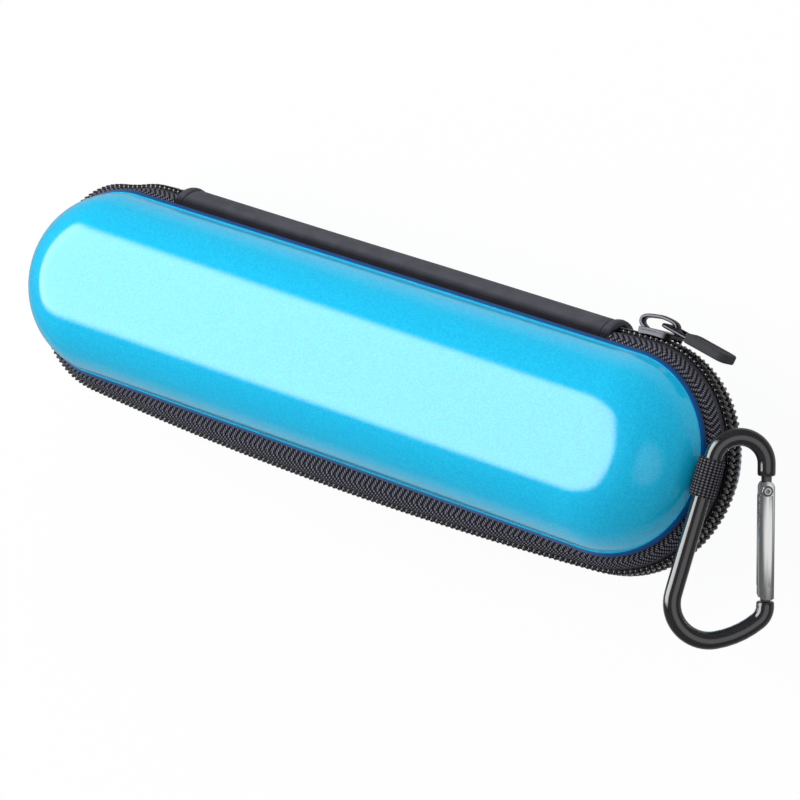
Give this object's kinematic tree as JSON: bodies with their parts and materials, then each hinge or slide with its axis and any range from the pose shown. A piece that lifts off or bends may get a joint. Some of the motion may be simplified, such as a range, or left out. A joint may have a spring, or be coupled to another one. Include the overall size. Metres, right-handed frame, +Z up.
{
  "type": "electric toothbrush travel case",
  "caption": "Hard zipped travel case for an electric toothbrush, two half shells on a back hinge strip, with a zip slider, rubber pull and snap hook.",
  "frame": {"origin": "middle of the flat on which the lower shell rests", "axes": "+X along the case towards the snap hook, +Y towards the hinge strip, +Z up through the lid"},
  "size_m": [0.2669, 0.0811, 0.057],
  "materials": {
    "blue_shell": "glossy metallic blue under clear lacquer",
    "brushed_lining": "brushed knit over foam",
    "zip_tape": "twill and herringbone weave",
    "zip_chain": "satin nylon coil",
    "edge_sheath": "satin coated cloth",
    "black_nickel": "black nickel plate",
    "pull_rubber": "matte moulded rubber",
    "ribbed_webbing": "ribbed narrow webbing",
    "black_anodised": "gloss black anodised bar",
    "polished_gate": "polished sheet",
    "rivet_steel": "domed rivet head",
    "spring_steel": "oiled spring wire",
    "pocket_net": "open knitted net",
    "elastic_band": "ribbed elastic"
  },
  "bodies": {
    "base": {"lower_shell": "blue_shell", "lower_lining": "brushed_lining", "lower_rim_binding": "ribbed_webbing", "lower_zip_tape": "zip_tape", "lower_hinge_leaf": "edge_sheath", "lower_hinge_band_left": "edge_sheath", "lower_hinge_band_right": "edge_sheath", "lower_zip_coil": "zip_chain", "handle_strap": "elastic_band", "neck_strap": "elastic_band"},
    "lid": {"upper_shell": "blue_shell", "upper_lining": "brushed_lining", "upper_rim_binding": "ribbed_webbing", "upper_zip_tape": "zip_tape", "upper_hinge_leaf": "edge_sheath", "upper_hinge_band_left": "edge_sheath", "upper_hinge_band_right": "edge_sheath", "upper_zip_coil": "zip_chain", "lower_coil_lead": "zip_chain", "mesh_pocket": "pocket_net", "pocket_hem": "elastic_band", "webbing_loop": "ribbed_webbing"},
    "slider": {"slider_body": "black_nickel"},
    "pull": {"pull_link": "black_nickel", "pull_tab": "pull_rubber"},
    "carabiner": {"carabiner_body": "black_anodised", "gate_rivet": "rivet_steel"},
    "gate": {"carabiner_gate": "polished_gate", "gate_spring": "spring_steel"}
  },
  "joints": [
    {"name": "lid_hinge", "type": "hinge", "parent": "base", "child": "lid", "pos_m": [0, 0.0343, 0.0285], "axis": [-1, 0, 0], "range_deg": [0, 179]},
    {"name": "slider_travel", "type": "hinge", "parent": "lid", "child": "slider", "pos_m": [0.0904, 0, 0.0285], "axis": [0, 0, -1], "range_deg": [0, 165]},
    {"name": "pull_swing", "type": "hinge", "parent": "slider", "child": "pull", "pos_m": [0.09095, 0.03633, 0.0285], "axis": [0, 0, 1], "range_deg": [0, 120]},
    {"name": "carabiner_swing", "type": "hinge", "parent": "lid", "child": "carabiner", "pos_m": [0.1217, 0, 0.04], "axis": [0, -1, 0], "range_deg": [0, 155]},
    {"name": "gate_swing", "type": "hinge", "parent": "carabiner", "child": "gate", "pos_m": [0.13434, 0.00263, 0.03013], "axis": [-0.6157, 0, -0.788], "range_deg": [0, 35], "stiffness_Nm_per_rad": 0.03, "springref_deg": -22.92}
  ]
}
